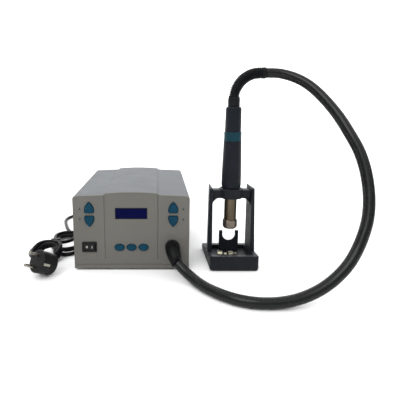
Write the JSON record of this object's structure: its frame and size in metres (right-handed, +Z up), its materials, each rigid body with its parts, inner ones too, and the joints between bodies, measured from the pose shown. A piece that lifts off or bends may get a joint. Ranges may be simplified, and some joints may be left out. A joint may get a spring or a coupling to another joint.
{
  "type": "hot air station",
  "caption": "Digital hot air rework station: control box with blower, hose-fed hot air handpiece parked upright in its stand, and a folded mains lead with a round two-pin plug.",
  "frame": {"origin": "on the table, below the middle of the box that the station, the stand and the handpiece fill, without the hose, the lead and the plug", "axes": "+X to the right of the front panel, the front panel faces -Y, +Z up"},
  "size_m": [0.5233, 0.4521, 0.3282],
  "materials": {
    "chassis_steel": "satin",
    "cover_paint": "satin powder coat",
    "panel_plastic": "matt moulded",
    "foot_rubber": "matt",
    "screw_steel": "satin",
    "window": "gloss",
    "circuit_board": "satin",
    "switch_black": "semi-gloss",
    "capacitor_sleeve": "gloss",
    "sink_aluminium": "satin",
    "core_iron": "matt",
    "coil_copper": "lacquered wire",
    "blower_plastic": "matt",
    "motor_steel": "satin",
    "button_blue": "satin",
    "hose_rubber": "smooth, slightly glossy",
    "lead_rubber": "smooth",
    "tie_black": "matt",
    "plug_black": "satin",
    "contact_nickel": "nickel plated",
    "handle_plastic": "satin",
    "band_teal": "satin",
    "heat_steel": "heat tinted",
    "ceramic": "matt ceramic",
    "heater_wire": "oxidised",
    "nozzle_steel": "heat tinted",
    "stand_paint": "satin"
  },
  "bodies": {
    "station": {"base_chassis": "chassis_steel", "top_cover": "cover_paint", "front_panel": "panel_plastic", "rear_panel": "cover_paint", "rubber_feet": "foot_rubber", "cover_screws": "screw_steel", "display_window": "window", "lcd_module": "circuit_board", "control_board": "circuit_board", "tact_switches": "switch_black", "power_board": "circuit_board", "power_capacitors": "capacitor_sleeve", "heat_sink": "sink_aluminium", "transformer_core": "core_iron", "transformer_coil": "coil_copper", "blower_housing": "blower_plastic", "blower_cover": "blower_plastic", "blower_motor": "motor_steel", "air_duct": "blower_plastic", "hose_connector": "sink_aluminium", "switch_frame": "switch_black", "lead_bushing": "lead_rubber", "hose_boot": "hose_rubber", "air_hose": "hose_rubber", "mains_lead": "lead_rubber", "mains_hank": "lead_rubber", "plug_lead": "lead_rubber", "hank_tie": "tie_black", "plug_body": "plug_black", "plug_pins": "contact_nickel", "earth_clips": "contact_nickel", "stand_base": "stand_paint", "stand_pads": "foot_rubber", "upright_left": "stand_paint", "upright_right": "stand_paint", "handle_cradle": "stand_paint", "barrel_fork": "stand_paint", "spare_nozzles": "nozzle_steel"},
    "handpiece": {"strain_relief": "hose_rubber", "rear_collar": "handle_plastic", "handle_rear": "handle_plastic", "handle_band": "band_teal", "handle_grip": "handle_plastic", "barrel_flange": "heat_steel", "barrel": "heat_steel", "heater_core": "ceramic", "heater_coil": "heater_wire"},
    "nozzle": {"nozzle": "nozzle_steel"},
    "power_rocker": {"power_rocker": "switch_black"},
    "impeller": {"motor_shaft": "chassis_steel", "blower_impeller": "blower_plastic"},
    "button_temp_up": {"button_temp_up": "button_blue"},
    "button_temp_down": {"button_temp_down": "button_blue"},
    "button_air_up": {"button_air_up": "button_blue"},
    "button_air_down": {"button_air_down": "button_blue"},
    "button_channel_1": {"button_channel_1": "button_blue"},
    "button_channel_2": {"button_channel_2": "button_blue"},
    "button_channel_3": {"button_channel_3": "button_blue"}
  },
  "joints": [
    {"name": "handpiece_lift", "type": "slide", "parent": "station", "child": "handpiece", "axis": [0, 0, 1], "range_m": [0, 0.09]},
    {"name": "nozzle_twist", "type": "hinge", "parent": "handpiece", "child": "nozzle", "pos_m": [0.106, -0.072, 0.065], "axis": [0, 0, 1], "range_deg": [0, 45]},
    {"name": "rocker_press", "type": "hinge", "parent": "station", "child": "power_rocker", "pos_m": [-0.1305, -0.1195, 0.0405], "axis": [0, 0, 1], "range_deg": [0, 16]},
    {"name": "impeller_spin", "type": "hinge", "parent": "station", "child": "impeller", "pos_m": [-0.022, -0.038, 0.04], "axis": [0, 0, 1], "continuous": true},
    {"name": "temp_up_press", "type": "slide", "parent": "station", "child": "button_temp_up", "axis": [0, 1, 0], "range_m": [0, 0.0015], "stiffness_N_per_m": 300, "springref_m": -0.001},
    {"name": "temp_down_press", "type": "slide", "parent": "station", "child": "button_temp_down", "axis": [0, 1, 0], "range_m": [0, 0.0015], "stiffness_N_per_m": 300, "springref_m": -0.001},
    {"name": "air_up_press", "type": "slide", "parent": "station", "child": "button_air_up", "axis": [0, 1, 0], "range_m": [0, 0.0015], "stiffness_N_per_m": 300, "springref_m": -0.001},
    {"name": "air_down_press", "type": "slide", "parent": "station", "child": "button_air_down", "axis": [0, 1, 0], "range_m": [0, 0.0015], "stiffness_N_per_m": 300, "springref_m": -0.001},
    {"name": "channel_1_press", "type": "slide", "parent": "station", "child": "button_channel_1", "axis": [0, 1, 0], "range_m": [0, 0.0015], "stiffness_N_per_m": 300, "springref_m": -0.001},
    {"name": "channel_2_press", "type": "slide", "parent": "station", "child": "button_channel_2", "axis": [0, 1, 0], "range_m": [0, 0.0015], "stiffness_N_per_m": 300, "springref_m": -0.001},
    {"name": "channel_3_press", "type": "slide", "parent": "station", "child": "button_channel_3", "axis": [0, 1, 0], "range_m": [0, 0.0015], "stiffness_N_per_m": 300, "springref_m": -0.001}
  ]
}
